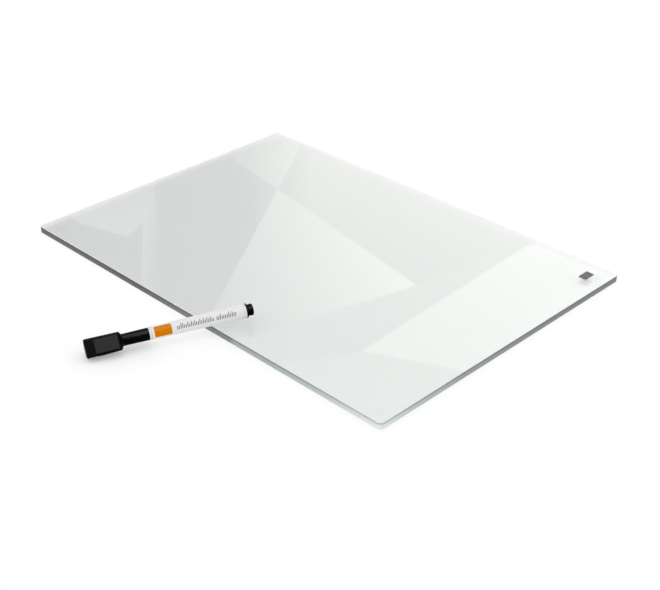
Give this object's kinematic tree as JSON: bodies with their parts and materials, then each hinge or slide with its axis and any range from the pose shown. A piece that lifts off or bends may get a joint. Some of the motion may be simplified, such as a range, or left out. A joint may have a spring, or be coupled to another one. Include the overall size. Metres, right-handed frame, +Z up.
{
  "type": "acrylic memo board",
  "caption": "Clear desk writing board on bumper feet, with a blank corner tag and a capped marker with an eraser head leaning on its edge.",
  "frame": {"origin": "centre of the bounding box of the whole set, at the level of the desk that the feet stand on", "axes": "+X along the sheet's short side towards the tag, +Y along its long side away from the tag, +Z up out of the writing face"},
  "size_m": [0.3902, 0.42, 0.0214],
  "materials": {
    "clear_acrylic": "gloss",
    "clear_bumper": "satin",
    "tag_plate": "satin",
    "cap_plastic": "satin",
    "felt": "matte",
    "barrel_plastic": "satin",
    "printed_film": "gloss",
    "nib_fibre": "matte",
    "ink_fibre": "matte"
  },
  "bodies": {
    "board": {"acrylic_sheet": "clear_acrylic", "name_tag": "tag_plate", "foot_front_left": "clear_bumper", "foot_front_right": "clear_bumper", "foot_back_left": "clear_bumper", "foot_back_right": "clear_bumper"},
    "cap": {"marker_cap": "cap_plastic", "eraser_felt": "felt"},
    "marker": {"marker_barrel": "barrel_plastic", "barrel_label": "printed_film", "nib_holder": "cap_plastic", "felt_nib": "nib_fibre", "ink_reservoir": "ink_fibre", "end_plug": "cap_plastic"}
  },
  "joints": [
    {"name": "marker_lift", "type": "slide", "parent": "board", "child": "cap", "axis": [0, 0, 1], "range_m": [0, 0.06]},
    {"name": "cap_pull", "type": "slide", "parent": "cap", "child": "marker", "axis": [0.9017, -0.4281, 0.061], "range_m": [0, 0.045]}
  ]
}
